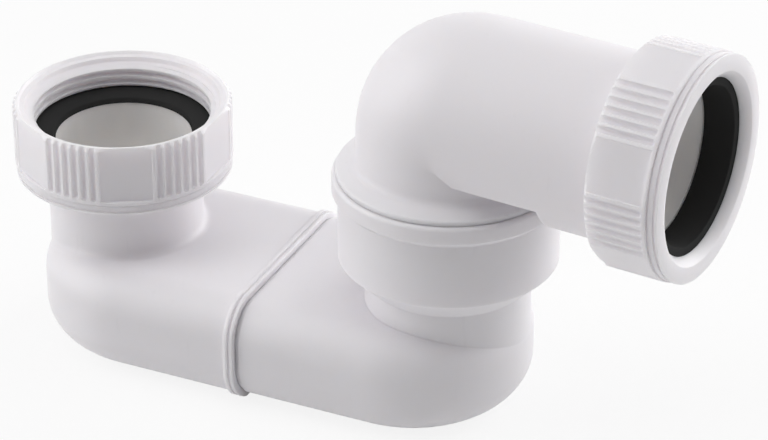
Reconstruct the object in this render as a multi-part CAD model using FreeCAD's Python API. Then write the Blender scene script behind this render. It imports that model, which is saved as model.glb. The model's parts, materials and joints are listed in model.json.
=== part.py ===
import FreeCAD, Part
import math
import os
from FreeCAD import Vector

# Bath trap in millimetres. The inlet stands on the Z axis, the outlet arm points to +X,
# and the flat underside of the body is z = 0.

# Body, a low box with round ends, moulded in two halves that are welded together
body_half_width = 32.2
body_height = 28.8
body_top_round = 9.7
body_foot_round = 11.2
body_wall = 2.5
end_inset = 0.25
outlet_half_step = 0.4
outlet_foot_round = 12.2

# Weld seam around the body
seam_x = 48.0
lip_proud = 0.8
outer_lip_width = 1.1
lip_groove_width = 0.7
inner_lip_width = 0.9
lip_groove_proud = 0.2
seam_groove_width = 1.1
seam_groove_depth = 0.5

# Inlet neck
neck_wall = 2.4
neck_foot_round = 2.0
neck_flange_height = 5.85
neck_flange_step = 2.6
neck_flange_clearance = 0.7
neck_bead_step = 3.0
neck_bead_height = 2.4
neck_bead_edge = 0.6
neck_cone_height = 2.2
neck_cone_clearance = 0.4
washer_bore_step = 0.5
washer_overhang = 0.2
washer_thickness = 3.1
washer_edge = 0.4

# Union nut, the same moulding at both ends
nut_wall = 5.1
nut_height = 19.6
nut_end_wall = 2.6
nut_open_wall = 1.9
nut_throat_clearance = 1.7
nut_mouth_flare = 2.1
nut_relief_step = 0.4
nut_relief_height = 11.9
nut_lead_in_height = 2.2
nut_top_chamfer = 1.0
nut_face_depth = 0.3
nut_face_width = 0.6
nut_groove_depth = 1.0
nut_groove_width = 0.7
nut_band_depth = 0.4
nut_band_width = 1.3
nut_line_depth = 0.7
nut_line_width = 0.3
nut_ledge_width = 1.0
nut_flat_depth = 1.1
nut_flat_half_width = 6.35
nut_groups = 6
grip_grooves = 6
grip_pitch_angle = 5.35
grip_groove_radius = 0.85
grip_groove_depth = 0.9
nut_shoulder_gap = 0.2
inlet_nut_top = 65.7
inlet_nut_turn = -3.9
outlet_nut_turn = 48.5
outlet_nut_reach = 6.0

# Outlet riser, collar and rim
outlet_x = 94.25
riser_radius = 21.6
riser_wall = 2.3
collar_wall = 2.65
collar_low = 41.8
collar_cone_height = 6.8
rim_proud = 1.55
rim_height = 6.0
rim_top = 65.3
rim_round = 1.0

# Snap fit and seal of the swivel
snap_shelf_rise = 3.7
snap_shelf_height = 3.0
snap_bore_clearance = 0.35
snap_bead_step = 1.0
snap_room_clearance = 1.1
snap_room_height = 4.2
seal_room_width = 3.25
seal_room_height = 3.8
ring_seal_gap = 0.15
ring_seal_clearance = 0.05

# Swivel elbow
arm_turn = -5.7
arm_rise = 20.1
arm_end = 65.5
arm_wall = 3.5
thread_clearance = 0.1
bend_radius = 8.5
flange_inset = 1.15
flange_edge = 1.2
flange_dome_step = 2.2
flange_dome_rise = 1.3
flange_rise = 2.0
flange_edge_round = 0.5
leg_foot_round = 2.0
swivel_gap = 0.2
running_clearance = 0.1
spigot_wall = 3.4
spigot_tip = 2.1
socket_bore_radius = 20.3
socket_shoulder = 1.1
socket_depth = 22.0
mouth_step = 0.6
mouth_lip = 0.6
mouth_depth = 5.5
underside_drop = 12.0
underside_reach = 5.45

# Cone seal of the outlet
cone_seal_length = 8.4
cone_seal_gap = 0.25
cone_seal_clearance = 0.8

# Sizes that follow from those above, where one piece passes through, fits in or seats on another
elbow_radius = socket_bore_radius + arm_wall
elbow_bore_radius = socket_bore_radius - socket_shoulder
nut_thread_radius = elbow_radius + thread_clearance
nut_radius = nut_thread_radius + nut_wall

neck_flange_radius = nut_thread_radius - neck_flange_clearance
neck_radius = neck_flange_radius - neck_flange_step
neck_bore_radius = neck_radius - neck_wall
neck_bead_radius = neck_radius + neck_bead_step
washer_bore_radius = neck_bore_radius + washer_bore_step
washer_radius = neck_flange_radius + washer_overhang

nut_throat_radius = neck_radius + nut_throat_clearance
nut_mouth_radius = nut_throat_radius + nut_mouth_flare
nut_relief_radius = nut_thread_radius + nut_relief_step
nut_lead_in_radius = nut_radius - nut_open_wall
nut_face_radius = nut_radius - nut_face_depth
nut_groove_radius = nut_radius - nut_groove_depth
nut_band_radius = nut_radius - nut_band_depth
nut_line_radius = nut_radius - nut_line_depth
nut_flat_apothem = nut_radius - nut_flat_depth
nut_grip_low = nut_face_width + nut_groove_width + nut_band_width + nut_line_width + nut_ledge_width
inlet_nut_low = inlet_nut_top - nut_height
neck_flange_low = inlet_nut_low + nut_end_wall + nut_shoulder_gap
neck_top = neck_flange_low + neck_flange_height

riser_bore_radius = riser_radius - riser_wall
spigot_radius = elbow_bore_radius + spigot_wall
journal_bore_radius = spigot_radius + seal_room_width
collar_radius = journal_bore_radius + collar_wall
rim_radius = collar_radius + rim_proud
rim_low = rim_top - rim_height
snap_bore_radius = spigot_radius + snap_bore_clearance
snap_bead_radius = spigot_radius + snap_bead_step
snap_room_radius = snap_bead_radius + snap_room_clearance
snap_shelf_low = collar_low + snap_shelf_rise
snap_shelf_top = snap_shelf_low + snap_shelf_height
spigot_end = snap_shelf_low - spigot_tip
journal_low = snap_shelf_top + seal_room_height
ring_seal_thickness = seal_room_width - ring_seal_gap

arm_height = rim_top + arm_rise
flange_radius = rim_radius - flange_inset
flange_dome_radius = elbow_radius + flange_dome_step
mouth_inner_radius = socket_bore_radius + mouth_step
mouth_outer_radius = elbow_radius - mouth_lip
mouth_start = arm_end - mouth_depth
socket_start = mouth_start - socket_depth
underside_height = arm_height - underside_drop
underside_end = rim_radius + underside_reach
outlet_nut_end = arm_end + outlet_nut_reach
cone_seal_radius = nut_relief_radius - cone_seal_clearance

UP = Vector(0, 0, 1)
ORIGIN = Vector(0, 0, 0)


def turned(profile, axis_x=0.0):
    """Solid of revolution about an upright axis, from (radius, height) corners."""
    corners = [Vector(radius, 0, height) for radius, height in profile]
    wire = Part.makePolygon(corners + corners[:1])
    solid = Part.Face(wire).revolve(ORIGIN, UP, 360)
    solid.translate(Vector(axis_x, 0, 0))
    return solid


def upright_rod(radius, low, high, axis_x=0.0):
    """Upright cylinder between two heights."""
    return Part.makeCylinder(radius, high - low, Vector(axis_x, 0, low), UP)


def half_space(x_low, x_high, z_low=-50.0):
    """Wide box that keeps what lies between two stations along X, above a height."""
    return Part.makeBox(x_high - x_low, 400, 400, Vector(x_low, -200, z_low))


def ring_edges(solid, radius, height):
    """Round edges of one radius at one height."""
    found = []
    for edge in solid.Edges:
        if edge.Degenerated or not isinstance(edge.Curve, Part.Circle):
            continue
        same_radius = abs(edge.Curve.Radius - radius) < 0.01
        if same_radius and abs(edge.Curve.Center.z - height) < 0.01:
            found.append(edge)
    return found


def edges_at_height(solid, height):
    """Edges that lie flat at one height."""
    return [
        edge for edge in solid.Edges
        if abs(edge.BoundBox.ZMin - height) < 0.01 and abs(edge.BoundBox.ZMax - height) < 0.01
    ]


def round_ended_block(x_start, x_end, half_width, low, high, top_round, foot_round):
    """Block whose two ends are half circles in plan, with rounded top and foot edges."""
    near = -half_width
    sides = [
        Part.LineSegment(Vector(x_start, near, low), Vector(x_end, near, low)),
        Part.Arc(
            Vector(x_end, near, low),
            Vector(x_end + half_width, 0, low),
            Vector(x_end, half_width, low),
        ),
        Part.LineSegment(Vector(x_end, half_width, low), Vector(x_start, half_width, low)),
        Part.Arc(
            Vector(x_start, half_width, low),
            Vector(x_start - half_width, 0, low),
            Vector(x_start, near, low),
        ),
    ]
    wire = Part.Wire([side.toShape() for side in sides])
    block = Part.Face(wire).extrude(Vector(0, 0, high - low))
    block = block.makeFillet(top_round, edges_at_height(block, high))
    return block.makeFillet(foot_round, edges_at_height(block, low))


def quarter_arc(centre_y, centre_z, radius, start_angle):
    """Quarter circle in the YZ plane, turning anticlockwise from its start angle."""
    points = []
    for turn in (0, 45, 90):
        angle = math.radians(start_angle + turn)
        points.append(
            Vector(0, centre_y + radius * math.cos(angle), centre_z + radius * math.sin(angle))
        )
    return Part.Arc(points[0], points[1], points[2])


def body_ring(x_low, x_high, half_width, height, foot_round, proud):
    """Slice across the body, standing out by 'proud' but cut off flat at the underside."""
    wide = half_width + proud
    top = height + proud
    foot = -proud
    top_round = body_top_round + proud
    foot_round = foot_round + proud
    arcs = [
        quarter_arc(wide - foot_round, foot + foot_round, foot_round, -90),
        quarter_arc(wide - top_round, top - top_round, top_round, 0),
        quarter_arc(top_round - wide, top - top_round, top_round, 90),
        quarter_arc(foot_round - wide, foot + foot_round, foot_round, 180),
    ]
    edges = []
    for index, arc in enumerate(arcs):
        following = arcs[(index + 1) % 4]
        edges.append(arc.toShape())
        edges.append(Part.makeLine(arc.EndPoint, following.StartPoint))
    ring = Part.Face(Part.Wire(edges)).extrude(Vector(x_high - x_low, 0, 0))
    ring.translate(Vector(x_low, 0, 0))
    return ring.common(half_space(x_low - 1, x_high + 1, 0.0))


def body_block(half_width, height, foot_round, inset):
    """Whole body shape of both halves, taken in by 'inset' on every side."""
    inlet_end = half_width - neck_radius - end_inset
    outlet_end = outlet_x + riser_radius + end_inset - half_width
    return round_ended_block(
        inlet_end,
        outlet_end,
        half_width - inset,
        inset,
        height - inset,
        body_top_round - inset,
        foot_round - inset,
    )


def inlet_neck():
    """Upright neck with the flange that carries the nut and the bead that keeps it up."""
    bead_top = inlet_nut_low - nut_shoulder_gap
    cone_top_radius = nut_throat_radius - neck_cone_clearance
    profile = [
        (0, body_height / 2),
        (neck_radius, body_height / 2),
        (neck_radius, bead_top - neck_bead_height),
        (neck_bead_radius, bead_top - neck_bead_height + neck_bead_edge),
        (neck_bead_radius, bead_top),
        (cone_top_radius, bead_top + neck_cone_height),
        (neck_radius, bead_top + neck_cone_height),
        (neck_radius, neck_flange_low),
        (neck_flange_radius, neck_flange_low),
        (neck_flange_radius, neck_top),
        (0, neck_top),
    ]
    return turned(profile)


def neck_foot_edges(solid):
    """Edges where the neck meets the rounded top of the body."""
    low = body_height - body_top_round
    found = []
    for edge in solid.Edges:
        box = edge.BoundBox
        inside = box.ZMin > low - 1 and box.ZMax < body_height + 0.01
        middle = edge.valueAt((edge.FirstParameter + edge.LastParameter) / 2)
        on_neck = abs(math.hypot(middle.x, middle.y) - neck_radius) < 0.01
        if inside and on_neck and box.DiagonalLength > 1:
            found.append(edge)
    return found


def seam_lips():
    """Two thin lips and the groove between them, all the way round the seam."""
    inner_start = seam_x - inner_lip_width
    groove_start = inner_start - lip_groove_width
    outer_start = groove_start - outer_lip_width
    stations = [
        (outer_start, groove_start, lip_proud),
        (groove_start, inner_start, lip_groove_proud),
        (inner_start, seam_x, lip_proud),
    ]
    rings = [
        body_ring(start, end, body_half_width, body_height, body_foot_round, proud)
        for start, end, proud in stations
    ]
    return rings[0].fuse(rings[1:])


def inlet_half():
    """Inlet side of the body: half the box, the neck and the seam's lips."""
    block = body_block(body_half_width, body_height, body_foot_round, 0.0)
    block = block.common(half_space(-100, seam_x))
    outer = block.fuse(inlet_neck())
    outer = outer.makeFillet(neck_foot_round, neck_foot_edges(outer))
    outer = outer.fuse(seam_lips())
    cavity = body_block(body_half_width, body_height, body_foot_round, body_wall)
    bore = upright_rod(neck_bore_radius, body_height / 2, neck_top + 1)
    return outer.cut(cavity).cut(bore).removeSplitter()


def inlet_washer():
    """Flat rubber washer that lies on the neck's flange."""
    top = neck_top + washer_thickness
    return turned([
        (washer_bore_radius, neck_top),
        (washer_radius, neck_top),
        (washer_radius, top - washer_edge),
        (washer_radius - washer_edge, top),
        (washer_bore_radius + washer_edge, top),
        (washer_bore_radius, top - washer_edge),
    ])


def outlet_tower():
    """Riser, coned collar and rim, as solid forms on the outlet axis."""
    rim_step = rim_radius - collar_radius
    profile = [
        (0, body_height - body_top_round),
        (riser_radius, body_height - body_top_round),
        (riser_radius, collar_low - collar_cone_height),
        (collar_radius, collar_low),
        (collar_radius, rim_low),
        (rim_radius, rim_low + rim_step),
        (rim_radius, rim_top),
        (0, rim_top),
    ]
    tower = turned(profile, outlet_x)
    return tower.makeFillet(rim_round, ring_edges(tower, rim_radius, rim_top))


def outlet_passage():
    """Bore of the riser, the room for the snap bead, its shelf and the journal bore."""
    room_low = snap_shelf_low - snap_room_height
    cone_low = room_low - (snap_room_radius - riser_bore_radius)
    profile = [
        (0, body_height / 2),
        (riser_bore_radius, body_height / 2),
        (riser_bore_radius, cone_low),
        (snap_room_radius, room_low),
        (snap_room_radius, snap_shelf_low),
        (snap_bore_radius, snap_shelf_low),
        (snap_bore_radius, snap_shelf_top),
        (journal_bore_radius, snap_shelf_top),
        (journal_bore_radius, rim_top + 1),
        (0, rim_top + 1),
    ]
    return turned(profile, outlet_x)


def outlet_half():
    """Outlet side of the body: half the box, the riser and the collar of the swivel."""
    half_width = body_half_width - outlet_half_step
    height = body_height - outlet_half_step
    full_from = seam_x + seam_groove_width
    foot_round = outlet_foot_round
    outer = body_block(half_width, height, foot_round, 0.0).common(half_space(full_from, 400))
    groove = body_ring(seam_x, full_from, half_width, height, foot_round, -seam_groove_depth)
    outer = outer.fuse([groove, outlet_tower()])
    cavity = body_block(half_width, height, foot_round, body_wall)
    return outer.cut(cavity).cut(outlet_passage()).removeSplitter()


def swivel_seal():
    """Rubber ring around the elbow's spigot, on the shelf inside the collar."""
    thick = ring_seal_thickness / 2
    middle = (spigot_radius + journal_bore_radius) / 2
    height = snap_shelf_top + thick + ring_seal_clearance
    return Part.makeTorus(middle, thick, Vector(outlet_x, 0, height), UP)


def nut_blank():
    """Turned shape of the union nut, closed end at z = 0 and open end up."""
    groove_low = nut_face_width
    band_low = groove_low + nut_groove_width
    line_low = band_low + nut_band_width
    ledge_low = line_low + nut_line_width
    profile = [
        (nut_mouth_radius, 0),
        (nut_face_radius, 0),
        (nut_face_radius, groove_low),
        (nut_groove_radius, groove_low),
        (nut_groove_radius, band_low),
        (nut_band_radius, band_low),
        (nut_band_radius, line_low),
        (nut_line_radius, line_low),
        (nut_line_radius, ledge_low),
        (nut_radius, ledge_low),
        (nut_radius, nut_height - nut_top_chamfer),
        (nut_radius - nut_top_chamfer, nut_height),
        (nut_lead_in_radius, nut_height),
        (nut_thread_radius, nut_height - nut_lead_in_height),
        (nut_thread_radius, nut_relief_height),
        (nut_relief_radius, nut_relief_height),
        (nut_relief_radius, nut_end_wall),
        (nut_throat_radius, nut_end_wall),
    ]
    return turned(profile)


def grip_groove(angle):
    """One round-bottomed groove with a round lower end, running out at the open end."""
    reach = nut_radius + grip_groove_radius - grip_groove_depth
    low = nut_grip_low + grip_groove_radius
    foot = Vector(reach, 0, low)
    groove = Part.makeCylinder(grip_groove_radius, nut_height, foot, UP)
    groove = groove.fuse(Part.makeSphere(grip_groove_radius, foot))
    groove.rotate(ORIGIN, UP, angle)
    return groove


def grip_flat(angle):
    """Block that planes one smooth flat on the nut's side."""
    block = Part.makeBox(
        nut_radius,
        2 * nut_flat_half_width,
        nut_height,
        Vector(nut_flat_apothem, -nut_flat_half_width, nut_grip_low),
    )
    block.rotate(ORIGIN, UP, angle)
    return block


def grip_cutters():
    """All grooves and flats around the nut."""
    cutters = []
    step = 360 / nut_groups
    first = -(grip_grooves - 1) / 2 * grip_pitch_angle
    for group in range(nut_groups):
        cutters.append(grip_flat(group * step))
        for index in range(grip_grooves):
            cutters.append(grip_groove((group + 0.5) * step + first + index * grip_pitch_angle))
    return cutters


def union_nut(turn):
    """Union nut with its closed end down, turned by an angle about its axis."""
    nut = nut_blank().cut(Part.makeCompound(grip_cutters()))
    nut = nut.Solids[0]
    nut.rotate(ORIGIN, UP, turn)
    return nut


def inlet_nut():
    """Union nut on the inlet neck, open end up."""
    nut = union_nut(inlet_nut_turn)
    nut.translate(Vector(0, 0, inlet_nut_low))
    return nut


def lay_on_arm(solid, station):
    """Lays a solid with its +Z along the arm's outward direction, its base at a station."""
    solid.rotate(ORIGIN, Vector(0, 1, 0), 90)
    solid.translate(Vector(station, 0, arm_height))
    return solid


def turn_arm(solid):
    """Takes a solid from the elbow's own axes to its place over the collar."""
    solid.rotate(ORIGIN, UP, arm_turn)
    solid.translate(Vector(outlet_x, 0, 0))
    return solid


def bend(radius):
    """Outer side of a tight bend from the upright leg into the level arm."""
    chord = math.sqrt(radius ** 2 - bend_radius ** 2)
    level = arm_height - bend_radius
    start = Vector(bend_radius, -chord, level)
    finish = Vector(bend_radius, chord, level)
    arc = Part.Arc(start, Vector(-radius, 0, level), finish).toShape()
    face = Part.Face(Part.Wire([arc, Part.makeLine(finish, start)]))
    return face.revolve(Vector(bend_radius, 0, level), Vector(0, 1, 0), 90)


def bent_rod(radius, foot, end, flat_height, flat_end):
    """Leg, bend and arm of one radius; the arm's underside is flat up to 'flat_end'."""
    leg = upright_rod(radius, foot, arm_height - bend_radius)
    arm = lay_on_arm(upright_rod(radius, 0, end - bend_radius), bend_radius)
    arm = arm.cut(half_space(-100, flat_end, flat_height - 400))
    return leg.fuse([arm, bend(radius)])


def elbow_spigot():
    """Flange, journal, seal seat and snap bead below the leg, as a solid form."""
    flange_low = rim_top + swivel_gap
    journal_radius = journal_bore_radius - running_clearance
    bead_top = snap_shelf_low - swivel_gap
    bead_slope = snap_bead_radius - spigot_radius
    dome_low = flange_low + flange_edge
    profile = [
        (0, spigot_end),
        (snap_bead_radius - bead_slope, spigot_end),
        (snap_bead_radius, spigot_end + bead_slope),
        (snap_bead_radius, bead_top),
        (spigot_radius, bead_top),
        (spigot_radius, journal_low),
        (journal_radius, journal_low),
        (journal_radius, flange_low),
        (flange_radius, flange_low),
        (flange_radius, dome_low),
        (flange_dome_radius, dome_low + flange_dome_rise),
        (elbow_radius, dome_low + flange_rise),
        (0, dome_low + flange_rise),
    ]
    spigot = turned(profile)
    return spigot.makeFillet(flange_edge_round, ring_edges(spigot, flange_radius, dome_low))


def arm_mouth():
    """Tapered mouth for the cone seal and the socket that the waste pipe slides into."""
    mouth = turned([
        (0, mouth_start),
        (mouth_inner_radius, mouth_start),
        (mouth_outer_radius, arm_end),
        (mouth_outer_radius, arm_end + 1),
        (0, arm_end + 1),
    ])
    socket = upright_rod(socket_bore_radius, socket_start, arm_end)
    return lay_on_arm(mouth.fuse(socket), 0)


def outlet_elbow():
    """Swivel elbow: spigot, flange, bend and the threaded arm with its pipe socket."""
    outer = bent_rod(elbow_radius, rim_top + 1, arm_end, underside_height, underside_end)
    outer = outer.fuse(elbow_spigot())
    foot_height = rim_top + swivel_gap + flange_edge + flange_rise
    outer = outer.makeFillet(leg_foot_round, ring_edges(outer, elbow_radius, foot_height))
    floor_height = underside_height + body_wall
    waterway = bent_rod(elbow_bore_radius, spigot_end - 1, arm_end, floor_height, socket_start)
    elbow = outer.cut(waterway).cut(arm_mouth()).removeSplitter()
    return turn_arm(elbow)


def outlet_seal():
    """Cone seal that the outlet nut squeezes between the arm's mouth and the pipe."""
    front = outlet_nut_end - nut_end_wall - nut_shoulder_gap
    back = front - cone_seal_length
    shoulder = arm_end + cone_seal_gap
    slope = (mouth_outer_radius - mouth_inner_radius) / mouth_depth
    back_radius = mouth_outer_radius - (arm_end - back) * slope - cone_seal_gap
    seal = turned([
        (socket_bore_radius, back),
        (back_radius, back),
        (mouth_outer_radius - cone_seal_gap, arm_end),
        (mouth_outer_radius - cone_seal_gap, shoulder),
        (cone_seal_radius, shoulder),
        (cone_seal_radius, front),
        (socket_bore_radius, front),
    ])
    return turn_arm(lay_on_arm(seal, 0))


def outlet_nut():
    """Union nut on the arm's thread, closed end outwards."""
    nut = union_nut(outlet_nut_turn)
    nut.rotate(ORIGIN, Vector(1, 0, 0), 180)
    return turn_arm(lay_on_arm(nut, outlet_nut_end))


def main():
    pieces = {
        "inlet_half": inlet_half,
        "outlet_half": outlet_half,
        "inlet_washer": inlet_washer,
        "inlet_nut": inlet_nut,
        "swivel_seal": swivel_seal,
        "outlet_elbow": outlet_elbow,
        "outlet_seal": outlet_seal,
        "outlet_nut": outlet_nut,
    }
    os.makedirs("parts", exist_ok=True)
    for name, make in pieces.items():
        solid = make()
        solid.exportStep(f"parts/{name}.step")
        print(name, solid.isValid(), len(solid.Solids), round(solid.Volume))


main()
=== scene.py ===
import json
import math

import bpy
from mathutils import Matrix, Vector


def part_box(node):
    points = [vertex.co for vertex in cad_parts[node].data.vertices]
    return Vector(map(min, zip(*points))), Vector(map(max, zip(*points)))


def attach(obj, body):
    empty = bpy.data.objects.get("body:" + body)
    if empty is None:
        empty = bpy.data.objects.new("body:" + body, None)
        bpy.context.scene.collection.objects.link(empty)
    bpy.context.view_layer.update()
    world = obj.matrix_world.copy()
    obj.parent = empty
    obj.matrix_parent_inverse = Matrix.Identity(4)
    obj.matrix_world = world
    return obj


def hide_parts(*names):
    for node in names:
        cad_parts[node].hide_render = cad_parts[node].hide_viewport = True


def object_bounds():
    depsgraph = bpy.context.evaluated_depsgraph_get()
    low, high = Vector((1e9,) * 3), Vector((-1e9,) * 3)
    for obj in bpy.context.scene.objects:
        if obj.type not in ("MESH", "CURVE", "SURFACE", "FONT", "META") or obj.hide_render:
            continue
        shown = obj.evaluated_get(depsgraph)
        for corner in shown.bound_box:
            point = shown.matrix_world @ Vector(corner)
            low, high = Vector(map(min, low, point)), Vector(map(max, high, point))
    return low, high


bl_info = {
    "name": "Bath Trap",
    "version": (1, 0, 0),
    "blender": (4, 5, 0),
    "location": "View3D > Sidebar > Bath Trap",
    "description": "Makes a bath trap's union nuts and seals, its mouldings' finish and a studio",
    "category": "Object",
}

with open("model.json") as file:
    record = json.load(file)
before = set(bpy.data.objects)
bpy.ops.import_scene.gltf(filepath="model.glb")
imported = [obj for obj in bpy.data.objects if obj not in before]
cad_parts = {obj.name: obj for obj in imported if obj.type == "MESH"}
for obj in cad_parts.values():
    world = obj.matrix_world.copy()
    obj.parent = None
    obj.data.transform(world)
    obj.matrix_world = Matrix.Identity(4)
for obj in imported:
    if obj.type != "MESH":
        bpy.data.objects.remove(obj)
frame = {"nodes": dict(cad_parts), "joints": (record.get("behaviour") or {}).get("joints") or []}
cad_low, cad_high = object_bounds()

MM = 0.001
TAU = 2 * math.pi
PLASTIC_SLOT = "white_plastic"
RUBBER_SLOT = "black_rubber"

joints = {joint["name"]: joint for joint in frame["joints"]}
arm_axis = Vector(joints["outlet_nut_turn"]["axis"]).normalized()
arm_turn = math.atan2(arm_axis.y, arm_axis.x)
outlet_nut_middle = Vector(joints["outlet_nut_turn"]["pos_m"])
outlet_x = joints["elbow_swivel"]["pos_m"][0]
elbow_centre = Vector((outlet_x, 0, outlet_nut_middle.z))


# Sizes and colours a user can change

def length(name, description, default):
    """Length in metres, shown with units."""
    return bpy.props.FloatProperty(
        name=name,
        description=description,
        default=default,
        subtype="DISTANCE",
        unit="LENGTH",
        precision=5,
    )


def millimetres(name, description, default):
    """Camera length, which Blender takes in millimetres."""
    return bpy.props.FloatProperty(
        name=name, description=description, default=default, min=1, subtype="DISTANCE_CAMERA"
    )


def angle(name, description, degrees):
    """Angle that is shown in degrees."""
    return bpy.props.FloatProperty(
        name=name,
        description=description,
        default=math.radians(degrees),
        subtype="ANGLE",
        unit="ROTATION",
    )


def whole(name, description, default):
    """Whole number of one or more."""
    return bpy.props.IntProperty(name=name, description=description, default=default, min=1)


def factor(name, description, default):
    """Plain number between zero and one."""
    return bpy.props.FloatProperty(
        name=name, description=description, default=default, min=0, max=1, subtype="FACTOR"
    )


def colour(name, description, default):
    """Linear colour."""
    return bpy.props.FloatVectorProperty(
        name=name, description=description, default=default, size=3, min=0, max=1, subtype="COLOR"
    )


class NutSizes(bpy.types.PropertyGroup):
    """Sizes of the union nut"""

    outer_radius: length("Outer radius", "Radius over the grip's ribs", 29.0 * MM)
    height: length("Height", "From the closed end's face to the open end", 19.6 * MM)
    end_wall: length("End wall", "Thickness of the closed end", 2.6 * MM)
    mouth_radius: length("Mouth radius", "Opening of the closed end at its face", 24.4 * MM)
    face_radius: length("Face radius", "Outside of the closed end's face", 28.7 * MM)
    ring_groove_radius: length("Ring groove radius", "Bottom of the groove behind the face", 28.0 * MM)
    band_radius: length("Band radius", "Outside of the band behind the ring groove", 28.6 * MM)
    line_radius: length("Line radius", "Bottom of the fine line before the ledge", 28.3 * MM)
    throat_radius: length("Throat radius", "Narrowest opening of the closed end", 22.3 * MM)
    relief_radius: length("Relief radius", "Bore between the closed end and the thread", 24.7 * MM)
    relief_height: length("Relief height", "Height at which the thread starts", 11.3 * MM)
    thread_radius: length("Thread radius", "Radius at the thread's roots", 24.6 * MM)
    thread_pitch: length("Thread pitch", "Rise of the thread in one turn", 2.309 * MM)
    thread_depth: length("Thread depth", "Height of the thread's ridge", 1.25 * MM)
    thread_top: length("Thread top", "Height of the thread's last full turn", 16.3 * MM)
    thread_start: angle("Thread start", "Where the thread's ridge starts", 123.0)
    lip_radius: length("Lip radius", "Inside of the open end's face", 27.6 * MM)
    lead_in_radius: length("Lead-in radius", "Top of the cone that leads to the thread", 25.6 * MM)
    lead_in_depth: length("Lead-in depth", "From the open end's face to the lead-in cone", 2.1 * MM)
    top_chamfer: length("Top chamfer", "Bevel outside the open end's face", 1.0 * MM)
    grip_low: length("Grip start", "Height at which the grip starts", 3.9 * MM)
    groove_radius: length("Groove radius", "Radius of each grip groove", 0.85 * MM)
    groove_depth: length("Groove depth", "Depth of each grip groove", 0.9 * MM)
    groove_pitch: angle("Groove pitch", "Angle between neighbouring grooves", 5.0)
    flat_distance: length("Flat distance", "From the nut's axis to each flat", 27.9 * MM)
    flat_half_width: length("Flat half width", "Half of the width of each flat", 6.8 * MM)
    edge_round: length("Edge round", "Rounding of the nut's edges", 0.22 * MM)
    groups: whole("Groups", "Groups of grooves around the nut", 6)
    grooves: whole("Grooves", "Grooves in each group", 6)
    segments: whole("Segments", "Steps around the nut", 1080)
    inlet_turn: angle("Inlet nut turn", "How far the inlet nut is turned", 0.0)
    outlet_turn: angle("Outlet nut turn", "How far the outlet nut is turned", 48.5)


class SealSizes(bpy.types.PropertyGroup):
    """Sizes of the washer and the cone seal"""

    washer_low_radius: length("Washer low radius", "Inside of the washer at its foot", 18.0 * MM)
    washer_top_radius: length("Washer top radius", "Inside of the washer at its top", 18.6 * MM)
    washer_outer_radius: length("Washer outer radius", "Outside of the washer", 24.3 * MM)
    washer_inner_height: length("Washer inner height", "Height of the washer's inside", 1.4 * MM)
    washer_outer_height: length("Washer outer height", "Height of the washer's outside", 2.1 * MM)
    cone_bore_radius: length("Cone seal bore", "Inside of the cone seal", 20.3 * MM)
    cone_nose_radius: length("Cone seal nose", "Outside of the cone seal's nose", 20.75 * MM)
    cone_radius: length("Cone radius", "Outside of the cone seal's wide end", 22.95 * MM)
    cone_rim_radius: length("Cone seal rim radius", "Outside of the cone seal's rim", 23.5 * MM)
    cone_length: length("Cone seal length", "From the cone seal's front to its nose", 8.4 * MM)
    cone_rim_length: length("Cone seal rim length", "From the cone seal's front to its cone", 3.2 * MM)
    cone_rim_step: length("Cone seal rim step", "From the cone to the back of the rim", 0.25 * MM)
    cone_gap: length("Cone seal gap", "Between the nut's closed end and the cone seal", 0.2 * MM)
    segments: whole("Segments", "Steps around each seal", 192)


class Finishes(bpy.types.PropertyGroup):
    """Colours and surfaces"""

    plastic: colour("Plastic", "Colour of the moulded plastic", (0.86, 0.835, 0.862))
    # Painted light: the bores take this lighter, warmer tint in place of the light that passes through
    # the plastic's walls
    bore: colour("Bore", "Colour of the plastic inside the bores", (0.97, 0.94, 0.915))
    rubber: colour("Rubber", "Colour of the rubber seals", (0.003, 0.0026, 0.0031))
    edge: length("Edge", "How wide the mouldings' edges are softened", 0.45 * MM)
    plastic_roughness: factor("Plastic roughness", "Roughness of the moulded plastic", 0.48)
    plastic_depth: length("Plastic depth", "How far light spreads in the plastic", 3.0 * MM)
    plastic_spread: factor("Plastic spread", "Share of the light that spreads in the plastic", 0.75)
    rubber_roughness: factor("Rubber roughness", "Roughness of the rubber", 0.6)
    rubber_shine: factor("Rubber shine", "Strength of the rubber's reflection", 0.03)


class StudioSizes(bpy.types.PropertyGroup):
    """Camera, floor and light"""

    azimuth: angle("Azimuth", "Camera's direction around the trap", 24.63)
    elevation: angle("Elevation", "Camera's height angle", 29.65)
    distance: length("Distance", "Camera's distance from its target", 0.837)
    target: bpy.props.FloatVectorProperty(
        name="Target",
        description="Point that the camera looks at",
        default=(0.076, 0.0, 0.0466),
        size=3,
        subtype="XYZ",
        unit="LENGTH",
    )
    lens: millimetres("Lens", "Focal length", 151.9)
    sensor: millimetres("Sensor", "Width of the sensor", 36.0)
    floor_size: length("Floor size", "Side of the square floor", 6.0)
    floor_gap: length("Floor gap", "How far the floor lies below the trap", 0.1 * MM)
    floor_colour: colour("Floor", "Colour of the floor", (0.9, 0.9, 0.9))
    floor_white: factor("Floor white", "How far the floor that is seen is plain white", 0.85)
    ambient: factor("Ambient", "Strength of the even light from all around", 0.115)


# Shader helpers

class Nodes:
    """Small helper that adds linked nodes to one tree."""

    def __init__(self, tree):
        self.tree = tree

    def add(self, kind, inputs=None, **values):
        """New node with its settings and its inputs set."""
        node = self.tree.nodes.new(kind)
        for name, value in values.items():
            setattr(node, name, value)
        for key, value in (inputs or {}).items():
            self.put(node.inputs[key], value)
        return node

    def put(self, socket, value):
        """Links a socket or sets its value."""
        if isinstance(value, bpy.types.NodeSocket):
            self.tree.links.new(value, socket)
        else:
            socket.default_value = value

    def math(self, operation, first, second=0.0, third=0.0):
        """Result of a new math node."""
        node = self.add("ShaderNodeMath", operation=operation)
        for socket, value in zip(node.inputs, (first, second, third)):
            self.put(socket, value)
        return node.outputs[0]

    def vector(self, operation, inputs):
        """New vector math node."""
        return self.add("ShaderNodeVectorMath", inputs, operation=operation)


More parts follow.
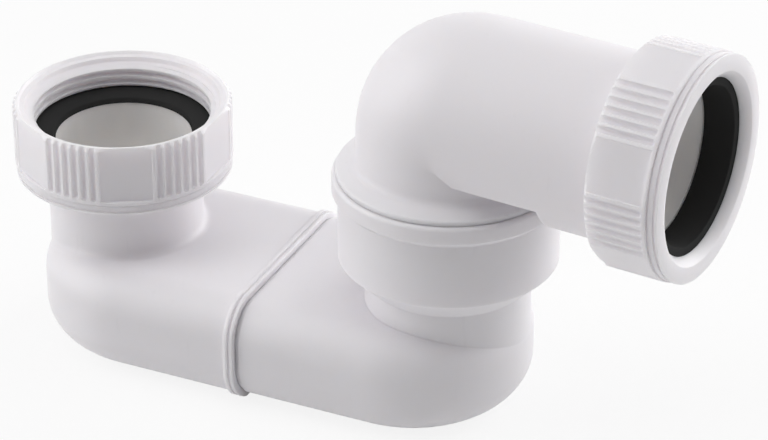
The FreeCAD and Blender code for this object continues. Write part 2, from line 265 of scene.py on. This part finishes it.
def new_group(name, inputs, outputs):
    """Shader node group with named inputs and outputs; returns it with its ends."""
    group = bpy.data.node_groups.new(name, "ShaderNodeTree")
    for label, kind, default in inputs:
        socket = group.interface.new_socket(name=label, in_out="INPUT", socket_type=kind)
        socket.default_value = default
    for label, kind in outputs:
        group.interface.new_socket(name=label, in_out="OUTPUT", socket_type=kind)
    start = group.nodes.new("NodeGroupInput")
    end = group.nodes.new("NodeGroupOutput")
    return group, start.outputs, end.inputs


def moulding_group():
    """Faint flow marks, orange peel and small scuffs of an injection moulding."""
    found = bpy.data.node_groups.get("moulded_surface")
    if found:
        return found
    group, given, result = new_group(
        "moulded_surface",
        [
            ("Colour", "NodeSocketColor", (0.8, 0.8, 0.8, 1)),
            ("Roughness", "NodeSocketFloat", 0.4),
            ("Peel Size", "NodeSocketFloat", 900.0),
            ("Flow Size", "NodeSocketFloat", 18.0),
            ("Flow Strength", "NodeSocketFloat", 0.03),
            ("Scuffs", "NodeSocketFloat", 0.1),
        ],
        [
            ("Colour", "NodeSocketColor"),
            ("Roughness", "NodeSocketFloat"),
            ("Height", "NodeSocketFloat"),
        ],
    )
    nodes = Nodes(group)
    place = nodes.add("ShaderNodeTexCoord").outputs["Object"]
    peel = nodes.add("ShaderNodeTexNoise", {"Vector": place, "Scale": given["Peel Size"], "Detail": 3.0})
    flow = nodes.add(
        "ShaderNodeTexNoise",
        {"Vector": place, "Scale": given["Flow Size"], "Detail": 4.0, "Distortion": 0.6},
    )
    scuff_place = nodes.add("ShaderNodeMapping", {"Vector": place, "Scale": (1.0, 1.0, 0.12)})
    scuff = nodes.add(
        "ShaderNodeTexNoise",
        {"Vector": scuff_place.outputs[0], "Scale": 420.0, "Detail": 2.0, "Roughness": 0.7},
    )
    scuff_mask = nodes.add(
        "ShaderNodeMapRange",
        {"Value": scuff.outputs["Fac"], "From Min": 0.66, "From Max": 0.74},
    ).outputs["Result"]
    scuff_amount = nodes.math("MULTIPLY", scuff_mask, given["Scuffs"])
    flow_offset = nodes.math("SUBTRACT", flow.outputs["Fac"], 0.5)
    shade = nodes.math("MULTIPLY_ADD", flow_offset, given["Flow Strength"], 1.0)
    shade = nodes.math("MULTIPLY_ADD", scuff_amount, -0.12, shade)
    tinted = nodes.vector("SCALE", {0: given["Colour"], "Scale": shade})
    nodes.put(result["Colour"], tinted.outputs[0])
    rough = nodes.math("MULTIPLY_ADD", flow_offset, 0.12, given["Roughness"])
    rough = nodes.math("MULTIPLY_ADD", scuff_amount, 0.5, rough)
    nodes.put(result["Roughness"], rough)
    height = nodes.math("MULTIPLY_ADD", scuff_amount, -0.6, peel.outputs["Fac"])
    nodes.put(result["Height"], height)
    return group


def bore_painted_light_mask_group():
    """Mask of the surfaces nearer to an axis than a radius, from one station along it, where the bore's
    painted light goes.
    """
    found = bpy.data.node_groups.get("bore_painted_light_mask")
    if found:
        return found
    group, given, result = new_group(
        "bore_painted_light_mask",
        [
            ("Centre", "NodeSocketVector", (0, 0, 0)),
            ("Axis", "NodeSocketVector", (0, 0, 1)),
            ("Radius", "NodeSocketFloat", 0.0185),
            ("Start", "NodeSocketFloat", 0.0),
        ],
        [("Mask", "NodeSocketFloat")],
    )
    nodes = Nodes(group)
    place = nodes.add("ShaderNodeTexCoord").outputs["Object"]
    axis = given["Axis"]
    offset = nodes.vector("SUBTRACT", {0: place, 1: given["Centre"]}).outputs[0]
    along = nodes.vector("DOT_PRODUCT", {0: offset, 1: axis}).outputs["Value"]
    foot = nodes.vector("SCALE", {0: axis, "Scale": along}).outputs[0]
    away = nodes.vector("DISTANCE", {0: offset, 1: foot}).outputs["Value"]
    near = nodes.add(
        "ShaderNodeMapRange",
        {"Value": nodes.math("SUBTRACT", away, given["Radius"]), "From Min": 0.0, "From Max": -0.2 * MM},
    ).outputs["Result"]
    beyond = nodes.math("GREATER_THAN", along, given["Start"])
    nodes.put(result["Mask"], nodes.math("MULTIPLY", near, beyond))
    return group


# Size of the orange peel, strength of the flow marks, amount of scuffs and strength of the relief
PLASTIC_SURFACE = {"Peel Size": 1400.0, "Flow Strength": 0.03, "Scuffs": 0.15, "Relief": 0.12}
RUBBER_SURFACE = {"Peel Size": 2200.0, "Flow Strength": 0.5, "Scuffs": 0.4, "Relief": 0.3}


def moulded_material(name, tint, roughness, look, bore=None, edge=0.0):
    """Plastic or rubber with the moulded surface, a lighter painted tint inside a bore for the light
    that passes through its wall, and softened edges.
    """
    material = bpy.data.materials.get(name)
    if material:
        return material
    material = bpy.data.materials.new(name)
    material.use_nodes = True
    nodes = Nodes(material.node_tree)
    shader = material.node_tree.nodes["Principled BSDF"]
    surface = nodes.add("ShaderNodeGroup", node_tree=moulding_group())
    surface.inputs["Colour"].default_value = (*tint, 1)
    surface.inputs["Roughness"].default_value = roughness
    for label in ("Peel Size", "Flow Strength", "Scuffs"):
        surface.inputs[label].default_value = look[label]
    # Painted light: inside the bore the colour turns to a lighter tint that stands for the light passing
    # through the wall
    if bore:
        mask = nodes.add("ShaderNodeGroup", node_tree=bore_painted_light_mask_group())
        for label in ("Centre", "Axis", "Radius", "Start"):
            mask.inputs[label].default_value = bore[label]
        mixed = nodes.add("ShaderNodeMix", data_type="RGBA")
        nodes.put(mixed.inputs[0], mask.outputs["Mask"])
        mixed.inputs[6].default_value = (*tint, 1)
        mixed.inputs[7].default_value = (*bore["Tint"], 1)
        nodes.put(surface.inputs["Colour"], mixed.outputs[2])
    relief = nodes.add(
        "ShaderNodeBump",
        {"Height": surface.outputs["Height"], "Strength": look["Relief"], "Distance": 0.05 * MM},
    )
    if edge:
        soft = nodes.add("ShaderNodeBevel", {"Radius": edge}, samples=6)
        nodes.put(relief.inputs["Normal"], soft.outputs["Normal"])
    nodes.put(shader.inputs["Base Color"], surface.outputs["Colour"])
    nodes.put(shader.inputs["Roughness"], surface.outputs["Roughness"])
    nodes.put(shader.inputs["Normal"], relief.outputs["Normal"])
    return material


def plastic_material(name="white_polypropylene", bore=None, edge=0.0):
    """White polypropylene that light passes into."""
    finish = bpy.context.scene.bath_trap_finishes
    roughness = finish.plastic_roughness
    material = moulded_material(name, finish.plastic, roughness, PLASTIC_SURFACE, bore, edge)
    shader = material.node_tree.nodes["Principled BSDF"]
    shader.inputs["Subsurface Weight"].default_value = finish.plastic_spread
    shader.inputs["Subsurface Radius"].default_value = (1.0, 0.95, 0.9)
    shader.inputs["Subsurface Scale"].default_value = finish.plastic_depth
    return material


def rubber_material():
    """Black moulded rubber."""
    finish = bpy.context.scene.bath_trap_finishes
    material = moulded_material("black_rubber", finish.rubber, finish.rubber_roughness, RUBBER_SURFACE)
    shader = material.node_tree.nodes["Principled BSDF"]
    shader.inputs["Specular IOR Level"].default_value = finish.rubber_shine
    return material


def dress(obj, material):
    """Gives a whole piece one material."""
    obj.data.materials.clear()
    obj.data.materials.append(material)


# Turned meshes

def rounded(corners):
    """Rows of a turned section; a corner with a round becomes three points on a short curve."""
    rows = []
    for index, (radius, height, edge) in enumerate(corners):
        corner = Vector((radius, height))
        if not edge:
            rows.append(tuple(corner))
            continue
        before = Vector(corners[index - 1][:2])
        after = Vector(corners[(index + 1) % len(corners)][:2])
        start = corner + (before - corner).normalized() * edge
        end = corner + (after - corner).normalized() * edge
        rows += [tuple(start), tuple((start + 2 * corner + end) / 4), tuple(end)]
    return rows


def turned_mesh(name, rows, segments):
    """Closed ring about the local Z axis from the rows of its section, outer wall going up."""
    count = len(rows)
    points = []
    faces = []
    for step in range(segments):
        turn = TAU * step / segments
        following = (step + 1) % segments
        points += [(radius * math.cos(turn), radius * math.sin(turn), height) for radius, height in rows]
        for row in range(count):
            above = (row + 1) % count
            faces.append((
                step * count + row,
                following * count + row,
                following * count + above,
                step * count + above,
            ))
    mesh = bpy.data.meshes.new(name)
    mesh.from_pydata(points, [], faces)
    mesh.update()
    return mesh


def add_piece(name, mesh, material, body, slot, *nodes):
    """Shows a finished mesh in the place of its nodes, riding on their body."""
    mesh.name = name
    piece = bpy.data.objects.new(name, mesh)
    bpy.context.scene.collection.objects.link(piece)
    mesh.shade_smooth()
    mesh.set_sharp_from_angle(angle=math.radians(35))
    dress(piece, material)
    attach(piece, body)
    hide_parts(*nodes)
    return piece


def on_arm(station):
    """Places a mesh with its +Z along the arm's outward direction, its base at a station."""
    return (
        Matrix.Translation((outlet_x, 0, 0))
        @ Matrix.Rotation(arm_turn, 4, "Z")
        @ Matrix.Translation((station, 0, elbow_centre.z))
        @ Matrix.Rotation(math.pi / 2, 4, "Y")
    )


# Union nuts

def nut_end_rings(sizes):
    """Stepped rings beside the closed end, as corners of the section."""
    groove_low, band_low, line_low, ledge_low = (height * MM for height in (0.6, 1.3, 2.6, 2.9))
    return [
        (sizes.face_radius, 0, sizes.edge_round),
        (sizes.face_radius, groove_low, 0.08 * MM),
        (sizes.ring_groove_radius, groove_low, 0),
        (sizes.ring_groove_radius, band_low, 0),
        (sizes.band_radius, band_low, 0.08 * MM),
        (sizes.band_radius, line_low, 0.1 * MM),
        (sizes.line_radius, line_low, 0),
        (sizes.line_radius, ledge_low, 0),
        (sizes.outer_radius, ledge_low, sizes.edge_round),
    ]


def nut_grip_wall(sizes):
    """Outer wall up to the open end, with close rows where the grooves run in."""
    feet = 7
    corners = []
    for step in range(feet):
        rise = 1 - math.cos(step / (feet - 1) * math.pi / 2)
        corners.append((sizes.outer_radius, sizes.grip_low + sizes.groove_radius * rise, 0))
    corners.append((sizes.outer_radius, (sizes.grip_low + sizes.height) / 2, 0))
    corners.append((sizes.outer_radius, sizes.height - sizes.top_chamfer, sizes.edge_round))
    corners.append((sizes.outer_radius - sizes.top_chamfer, sizes.height, sizes.edge_round))
    return corners


def nut_lead_in(sizes):
    """Mouth of the open end down to the lead-in cone, as corners of the section."""
    return [
        (sizes.lip_radius, sizes.height, 0.1 * MM),
        (sizes.lip_radius - 0.5 * MM, sizes.height - 0.8 * MM, 0.1 * MM),
        (sizes.lead_in_radius + 0.3 * MM, sizes.height - 0.95 * MM, 0.15 * MM),
        (sizes.lead_in_radius, sizes.height - sizes.lead_in_depth, 0.2 * MM),
    ]


def nut_thread_rows(sizes):
    """Close rows down the lead-in cone and the thread, at the radius of its crests."""
    crest = sizes.thread_radius - sizes.thread_depth
    start = sizes.height - sizes.lead_in_depth
    cone_rows = 6
    rows = []
    for step in range(1, cone_rows):
        part = step / cone_rows
        radius = sizes.lead_in_radius + (crest - sizes.lead_in_radius) * part
        rows.append((radius, start + (sizes.thread_top - start) * part, 0))
    thread_rows = 30
    for step in range(thread_rows + 1):
        drop = (sizes.thread_top - sizes.relief_height) * step / thread_rows
        rows.append((crest, sizes.thread_top - drop, 0))
    return rows


def nut_blank(sizes):
    """Turned blank of the union nut, closed end down, with marks for the grip and the thread."""
    closed_end = [(sizes.mouth_radius, 0, 0.12 * MM)] + nut_end_rings(sizes)
    grip = nut_grip_wall(sizes)
    mouth = nut_lead_in(sizes)
    thread = nut_thread_rows(sizes)
    inside = [
        (sizes.relief_radius, sizes.relief_height, 0),
        (sizes.relief_radius, sizes.end_wall, 0),
        (sizes.throat_radius, sizes.end_wall, 0.15 * MM),
    ]
    rows = rounded(closed_end + grip + mouth + thread + inside)
    mesh = turned_mesh("nut_blank", rows, sizes.segments)
    marks = {"grip": [], "thread": []}
    grip_radius = sizes.lip_radius - 0.1 * MM
    thread_low = sizes.relief_height - 0.01 * MM
    for radius, height in rows:
        marks["grip"].append(float(radius > grip_radius))
        marks["thread"].append(float(radius < sizes.thread_radius and height > thread_low))
    for name, values in marks.items():
        attribute = mesh.attributes.new(name, "FLOAT", "POINT")
        attribute.data.foreach_set("value", values * sizes.segments)
    return mesh


NUT_INPUTS = (
    ("Groups", "NodeSocketInt"),
    ("Grooves", "NodeSocketInt"),
    ("Groove Pitch", "NodeSocketFloat"),
    ("Groove Radius", "NodeSocketFloat"),
    ("Groove Depth", "NodeSocketFloat"),
    ("Outer Radius", "NodeSocketFloat"),
    ("Grip Start", "NodeSocketFloat"),
    ("Flat Distance", "NodeSocketFloat"),
    ("Flat Half Width", "NodeSocketFloat"),
    ("Thread Radius", "NodeSocketFloat"),
    ("Thread Pitch", "NodeSocketFloat"),
    ("Thread Depth", "NodeSocketFloat"),
    ("Thread Start", "NodeSocketFloat"),
    ("Material", "NodeSocketMaterial"),
)


def flat_radius(nodes, given, turn, half_sector, low_sector):
    """Distance of each flat from the axis, and the mask of the turns that it covers."""
    aside = nodes.math("WRAP", turn, half_sector, low_sector)
    distance = nodes.math("DIVIDE", given["Flat Distance"], nodes.math("COSINE", aside))
    reach = nodes.math("MULTIPLY", nodes.math("TANGENT", aside), given["Flat Distance"])
    covered = nodes.math("LESS_THAN", nodes.math("ABSOLUTE", reach), given["Flat Half Width"])
    return distance, covered


def groove_radius(nodes, given, turn, height, half_sector, low_sector):
    """Bottom of each round groove with its round foot, and the mask of what it covers."""
    between = nodes.math("WRAP", nodes.math("ADD", turn, half_sector), half_sector, low_sector)
    half_pitch = nodes.math("MULTIPLY", given["Groove Pitch"], 0.5)
    span = nodes.math("MULTIPLY", half_pitch, given["Grooves"])
    in_group = nodes.math("LESS_THAN", nodes.math("ABSOLUTE", between), span)
    first = nodes.math("SUBTRACT", between, nodes.math("SUBTRACT", span, half_pitch))
    aside = nodes.math("WRAP", first, half_pitch, nodes.math("MULTIPLY", half_pitch, -1.0))
    proud = nodes.math("SUBTRACT", given["Groove Radius"], given["Groove Depth"])
    reach = nodes.math("ADD", given["Outer Radius"], proud)
    foot = nodes.math("ADD", given["Grip Start"], given["Groove Radius"])
    below = nodes.math("MAXIMUM", nodes.math("SUBTRACT", foot, height), 0.0)
    across = nodes.math("MULTIPLY", reach, nodes.math("SINE", aside))
    squares = [nodes.math("MULTIPLY", value, value) for value in (given["Groove Radius"], below, across)]
    left = nodes.math("SUBTRACT", nodes.math("SUBTRACT", squares[0], squares[1]), squares[2])
    deep = nodes.math("SQRT", nodes.math("MAXIMUM", left, 0.0))
    bottom = nodes.math("SUBTRACT", nodes.math("MULTIPLY", reach, nodes.math("COSINE", aside)), deep)
    covered = nodes.math("MULTIPLY", in_group, nodes.math("GREATER_THAN", left, 0.0))
    return bottom, covered


def thread_radius(nodes, given, turn, height):
    """Bore along a right-handed thread with sloped flanks and flat crests and roots."""
    turns = nodes.math("DIVIDE", nodes.math("SUBTRACT", turn, given["Thread Start"]), TAU)
    rise = nodes.math("SUBTRACT", nodes.math("DIVIDE", height, given["Thread Pitch"]), turns)
    offset = nodes.math("ABSOLUTE", nodes.math("WRAP", rise, 0.5, -0.5))
    ridge = nodes.add(
        "ShaderNodeMapRange",
        {"Value": offset, "From Min": 0.34, "From Max": 0.2},
        interpolation_type="SMOOTHSTEP",
    ).outputs["Result"]
    crest = nodes.math("MULTIPLY", ridge, given["Thread Depth"])
    return nodes.math("SUBTRACT", given["Thread Radius"], crest)


def nut_tree():
    """Cuts the grip's flats and grooves into a nut's blank and carves its thread."""
    tree = bpy.data.node_groups.new("nut_grip_and_thread", "GeometryNodeTree")
    tree.interface.new_socket(name="Geometry", in_out="INPUT", socket_type="NodeSocketGeometry")
    for label, kind in NUT_INPUTS:
        tree.interface.new_socket(name=label, in_out="INPUT", socket_type=kind)
    tree.interface.new_socket(name="Geometry", in_out="OUTPUT", socket_type="NodeSocketGeometry")
    nodes = Nodes(tree)
    given = nodes.add("NodeGroupInput").outputs
    position = nodes.add("GeometryNodeInputPosition").outputs["Position"]
    place = nodes.add("ShaderNodeSeparateXYZ", {"Vector": position}).outputs
    turn = nodes.math("ARCTAN2", place["Y"], place["X"])
    side = nodes.math("MULTIPLY", place["Y"], place["Y"])
    squared = nodes.math("MULTIPLY_ADD", place["X"], place["X"], side)
    radius = nodes.math("SQRT", squared)
    half_sector = nodes.math("DIVIDE", math.pi, given["Groups"])
    low_sector = nodes.math("MULTIPLY", half_sector, -1.0)
    marks = {}
    for name in ("grip", "thread"):
        mark = nodes.add("GeometryNodeInputNamedAttribute", {"Name": name}, data_type="FLOAT")
        marks[name] = mark.outputs["Attribute"]
    above = nodes.math("GREATER_THAN", place["Z"], given["Grip Start"])
    on_grip = nodes.math("MULTIPLY", marks["grip"], above)
    cuts = [
        flat_radius(nodes, given, turn, half_sector, low_sector),
        groove_radius(nodes, given, turn, place["Z"], half_sector, low_sector),
    ]
    cut_radius = radius
    for bottom, covered in cuts:
        depth = nodes.math("MAXIMUM", nodes.math("SUBTRACT", radius, bottom), 0.0)
        share = nodes.math("MULTIPLY", covered, on_grip)
        left = nodes.math("SUBTRACT", radius, nodes.math("MULTIPLY", depth, share))
        cut_radius = nodes.math("MINIMUM", cut_radius, left)
    carved = nodes.math("SUBTRACT", thread_radius(nodes, given, turn, place["Z"]), radius)
    carved = nodes.math("MULTIPLY", nodes.math("MAXIMUM", carved, 0.0), marks["thread"])
    new_radius = nodes.math("ADD", cut_radius, carved)
    moved = nodes.add("ShaderNodeCombineXYZ", {
        "X": nodes.math("MULTIPLY", new_radius, nodes.math("COSINE", turn)),
        "Y": nodes.math("MULTIPLY", new_radius, nodes.math("SINE", turn)),
        "Z": place["Z"],
    })
    shaped = nodes.add(
        "GeometryNodeSetPosition", {"Geometry": given["Geometry"], "Position": moved.outputs[0]}
    )
    real = nodes.add("GeometryNodeRealizeInstances", {"Geometry": shaped.outputs[0]})
    finished = nodes.add(
        "GeometryNodeSetMaterial", {"Geometry": real.outputs[0], "Material": given["Material"]}
    )
    end = nodes.add("NodeGroupOutput")
    nodes.put(end.inputs["Geometry"], finished.outputs["Geometry"])
    return tree


def shaped_by(tree, mesh, values):
    """Plain mesh that the tree makes of a mesh, with its named inputs set."""
    maker = bpy.data.objects.new("maker", mesh)
    bpy.context.scene.collection.objects.link(maker)
    modifier = maker.modifiers.new("shape", "NODES")
    modifier.node_group = tree
    for item in tree.interface.items_tree:
        if item.in_out == "INPUT" and item.name in values:
            modifier[item.identifier] = values[item.name]
    graph = bpy.context.evaluated_depsgraph_get()
    result = bpy.data.meshes.new_from_object(maker.evaluated_get(graph))
    maker.modifiers.remove(modifier)
    bpy.data.objects.remove(maker)
    return result


class BathTrapOperator:
    """What every operator of the trap shares."""

    bl_options = {"REGISTER", "UNDO"}


class MakeNuts(BathTrapOperator, bpy.types.Operator):
    """Make both ribbed union nuts"""

    bl_idname = "bath_trap.make_nuts"
    bl_label = "Make Union Nuts"

    def execute(self, context):
        sizes = context.scene.bath_trap_nut
        tree = nut_tree()
        station = (outlet_nut_middle - elbow_centre).length + sizes.height / 2
        inlet_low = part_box("inlet_nut")[0][2]
        inlet_place = Matrix.Translation((0, 0, inlet_low)) @ Matrix.Rotation(sizes.inlet_turn, 4, "Z")
        flipped = on_arm(station) @ Matrix.Rotation(math.pi, 4, "X")
        outlet_place = flipped @ Matrix.Rotation(sizes.outlet_turn, 4, "Z")
        self.make(tree, sizes, "ribbed_inlet_nut", "inlet_nut", "inlet_union", inlet_place)
        self.make(tree, sizes, "ribbed_outlet_nut", "outlet_nut", "outlet_union", outlet_place)
        return {"FINISHED"}

    def make(self, tree, sizes, name, node, body, place):
        """One nut at its place."""
        material = plastic_material()
        # The outlet nut's thread lies on the arm and is never seen
        thread_depth = sizes.thread_depth if node == "inlet_nut" else 0.0
        values = {
            "Groups": sizes.groups,
            "Grooves": sizes.grooves,
            "Groove Pitch": sizes.groove_pitch,
            "Groove Radius": sizes.groove_radius,
            "Groove Depth": sizes.groove_depth,
            "Outer Radius": sizes.outer_radius,
            "Grip Start": sizes.grip_low,
            "Flat Distance": sizes.flat_distance,
            "Flat Half Width": sizes.flat_half_width,
            "Thread Radius": sizes.thread_radius,
            "Thread Pitch": sizes.thread_pitch,
            "Thread Depth": thread_depth,
            "Thread Start": sizes.thread_start,
            "Material": material,
        }
        mesh = shaped_by(tree, nut_blank(sizes), values)
        mesh.transform(place)
        add_piece(name, mesh, material, body, PLASTIC_SLOT, node)


class MakeSeals(BathTrapOperator, bpy.types.Operator):
    """Make the inlet washer and the outlet's cone seal"""

    bl_idname = "bath_trap.make_seals"
    bl_label = "Make Seals"

    def execute(self, context):
        sizes = context.scene.bath_trap_seals
        self.make_washer(sizes)
        self.make_cone_seal(sizes, context.scene.bath_trap_nut)
        return {"FINISHED"}

    def make_washer(self, sizes):
        """Slightly dished washer on the neck's flange."""
        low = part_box("inlet_washer")[0][2]
        corners = [
            (sizes.washer_low_radius, low, 0.1 * MM),
            (sizes.washer_outer_radius, low, 0.2 * MM),
            (sizes.washer_outer_radius, low + sizes.washer_outer_height, 0.25 * MM),
            (sizes.washer_top_radius, low + sizes.washer_inner_height, 0.25 * MM),
        ]
        mesh = turned_mesh("washer", rounded(corners), sizes.segments)
        rubber = rubber_material()
        add_piece("inlet_washer_rubber", mesh, rubber, "trap_body", RUBBER_SLOT, "inlet_washer")

    def make_cone_seal(self, sizes, nut):
        """Cone seal with a rounded nose, its front face near the nut's closed end."""
        middle = (outlet_nut_middle - elbow_centre).length
        front = middle + nut.height / 2 - nut.end_wall - sizes.cone_gap
        cone = front - sizes.cone_rim_length
        rim = cone + sizes.cone_rim_step
        nose = front - sizes.cone_length
        corners = [
            (sizes.cone_bore_radius, nose, 0.3 * MM),
            (sizes.cone_nose_radius, nose, 0.3 * MM),
            (sizes.cone_radius, cone, 0.2 * MM),
            (sizes.cone_radius, rim, 0),
            (sizes.cone_rim_radius, rim, 0.15 * MM),
            (sizes.cone_rim_radius, front, 0.3 * MM),
            (sizes.cone_bore_radius, front, 0.4 * MM),
        ]
        mesh = turned_mesh("cone_seal", rounded(corners), sizes.segments)
        mesh.transform(on_arm(0))
        add_piece("cone_seal_rubber", mesh, rubber_material(), "cone_seal", RUBBER_SLOT, "outlet_seal")


# Bore of each moulding: centre, axis, radius inside which painted light lightens its tint, and where it
# starts
BORES = (
    ("inlet_half", (0, 0, 0), (0, 0, 1), 18.6, 0),
    ("outlet_half", (outlet_x, 0, 0), (0, 0, 1), 19.5, 30),
    ("outlet_elbow", elbow_centre, arm_axis, 22.4, 36),
)


class DressMouldings(BathTrapOperator, bpy.types.Operator):
    """Give the body's halves and the elbow their moulded finish"""

    bl_idname = "bath_trap.dress_mouldings"
    bl_label = "Dress Mouldings"

    def execute(self, context):
        finish = context.scene.bath_trap_finishes
        for name, centre, axis, radius, start in BORES:
            # The bore's lighter tint is painted light, for the light that passes through the plastic's
            # walls
            bore = {
                "Centre": centre,
                "Axis": axis,
                "Radius": radius * MM,
                "Start": start * MM,
                "Tint": finish.bore,
            }
            # The elbow's edges are round in its solid, and softening would mark the tip of its fillet
            edge = 0.0 if name == "outlet_elbow" else finish.edge
            material = plastic_material(f"{name}_polypropylene", bore, edge)
            dress(frame["nodes"][name], material)
        dress(frame["nodes"]["swivel_seal"], rubber_material())
        return {"FINISHED"}


# Softboxes: place around the trap as seen by the camera (right, away, up), side and watts
LAMPS = (
    ("overhead", (0.0, 0.0, 1.0), 1.0, 4.6),
    ("left_box", (-0.9, 0.0, 0.3), 0.8, 4.2),
    ("left_high_box", (-0.7, 0.0, 0.7), 0.6, 1.4),
    ("right_box", (0.9, 0.0, 0.3), 0.8, 2.6),
    ("right_back_box", (0.75, 0.6, 0.3), 0.6, 5.4),
)


def aim(obj, target):
    """Turns a lamp or camera to look at a point."""
    obj.rotation_euler = (Vector(target) - obj.location).to_track_quat("-Z", "Y").to_euler()


def soft_lamp(name, place, target, side, power):
    """Square white softbox."""
    light = bpy.data.lights.new(name, "AREA")
    light.shape = "SQUARE"
    light.size = side
    light.energy = power
    lamp = bpy.data.objects.new(name, light)
    bpy.context.scene.collection.objects.link(lamp)
    lamp.location = place
    aim(lamp, target)
    return lamp


def seen_rays(nodes):
    """Mask of the camera's rays and of mirrored and refracted ones, which all see a white studio."""
    path = nodes.add("ShaderNodeLightPath").outputs
    mirrored = nodes.math("MAXIMUM", path["Is Glossy Ray"], path["Is Transmission Ray"])
    return nodes.math("MAXIMUM", path["Is Camera Ray"], mirrored)


class MakeStudio(BathTrapOperator, bpy.types.Operator):
    """Set up the pale floor, soft lamps and camera"""

    bl_idname = "bath_trap.make_studio"
    bl_label = "Make Studio"

    def execute(self, context):
        sizes = context.scene.bath_trap_studio
        self.make_floor(sizes)
        self.make_world(context, sizes)
        self.make_lamps(sizes)
        self.make_camera(context, sizes)
        context.scene.view_settings.view_transform = "Standard"
        return {"FINISHED"}

    def make_floor(self, sizes):
        """Pale floor that takes a faint shadow."""
        mesh = bpy.data.meshes.new("floor")
        half = sizes.floor_size / 2
        corners = [(-half, -half, 0), (half, -half, 0), (half, half, 0), (-half, half, 0)]
        mesh.from_pydata(corners, [], [(0, 1, 2, 3)])
        mesh.transform(Matrix.Translation((0, 0, cad_low.z - sizes.floor_gap)))
        floor = bpy.data.objects.new("floor", mesh)
        bpy.context.scene.collection.objects.link(floor)
        material = bpy.data.materials.new("studio_floor")
        material.use_nodes = True
        nodes = Nodes(material.node_tree)
        shader = material.node_tree.nodes["Principled BSDF"]
        shader.inputs["Base Color"].default_value = (*sizes.floor_colour, 1)
        shader.inputs["Roughness"].default_value = 0.9
        shader.inputs["Specular IOR Level"].default_value = 0.1
        white = nodes.add("ShaderNodeEmission", {"Color": (1, 1, 1, 1), "Strength": 1.0})
        share = nodes.math("MULTIPLY", seen_rays(nodes), sizes.floor_white)
        mixed = nodes.add("ShaderNodeMixShader", {0: share, 1: shader.outputs[0], 2: white.outputs[0]})
        nodes.put(material.node_tree.nodes["Material Output"].inputs["Surface"], mixed.outputs[0])
        floor.data.materials.append(material)

    def make_world(self, context, sizes):
        """White surroundings that give only a faint even light."""
        world = bpy.data.worlds.new("studio")
        world.use_nodes = True
        nodes = Nodes(world.node_tree)
        background = world.node_tree.nodes["Background"]
        strength = nodes.add(
            "ShaderNodeMapRange", {"Value": seen_rays(nodes), "To Min": sizes.ambient, "To Max": 1.0}
        )
        background.inputs["Color"].default_value = (1, 1, 1, 1)
        nodes.put(background.inputs["Strength"], strength.outputs["Result"])
        context.scene.world = world

    def make_lamps(self, sizes):
        """Softboxes around the trap, turned with the camera."""
        middle = Vector(sizes.target)
        turn = Matrix.Rotation(sizes.azimuth, 3, "Z")
        for name, place, side, power in LAMPS:
            soft_lamp(name, middle + turn @ Vector(place), middle, side, power)

    def make_camera(self, context, sizes):
        """The photo's camera."""
        camera = bpy.data.objects.new("camera", bpy.data.cameras.new("camera"))
        context.scene.collection.objects.link(camera)
        level = math.cos(sizes.elevation)
        back = Vector((
            math.sin(sizes.azimuth) * level,
            -math.cos(sizes.azimuth) * level,
            math.sin(sizes.elevation),
        ))
        camera.location = Vector(sizes.target) + back * sizes.distance
        aim(camera, sizes.target)
        camera.data.lens = sizes.lens
        camera.data.sensor_width = sizes.sensor
        context.scene.camera = camera


class BathTrapPanel(bpy.types.Panel):
    """Lists the trap's operators, sizes and colours"""

    bl_idname = "VIEW3D_PT_bath_trap"
    bl_label = "Bath Trap"
    bl_space_type = "VIEW_3D"
    bl_region_type = "UI"
    bl_category = "Bath Trap"

    def draw(self, context):
        for operator in OPERATORS:
            self.layout.operator(operator.bl_idname)
        for name, group in GROUPS.items():
            box = self.layout.box()
            for value in group.__annotations__:
                box.prop(getattr(context.scene, name), value)


OPERATORS = (MakeNuts, MakeSeals, DressMouldings, MakeStudio)
GROUPS = {
    "bath_trap_nut": NutSizes,
    "bath_trap_seals": SealSizes,
    "bath_trap_finishes": Finishes,
    "bath_trap_studio": StudioSizes,
}
CLASSES = (*GROUPS.values(), *OPERATORS, BathTrapPanel)


def register():
    for cls in CLASSES:
        bpy.utils.register_class(cls)
    for name, group in GROUPS.items():
        setattr(bpy.types.Scene, name, bpy.props.PointerProperty(type=group))


def unregister():
    for name in GROUPS:
        delattr(bpy.types.Scene, name)
    for cls in reversed(CLASSES):
        bpy.utils.unregister_class(cls)


def main():
    register()
    bpy.ops.bath_trap.make_nuts()
    bpy.ops.bath_trap.make_seals()
    bpy.ops.bath_trap.dress_mouldings()
    bpy.ops.bath_trap.make_studio()


if __name__ == "__main__":
    main()
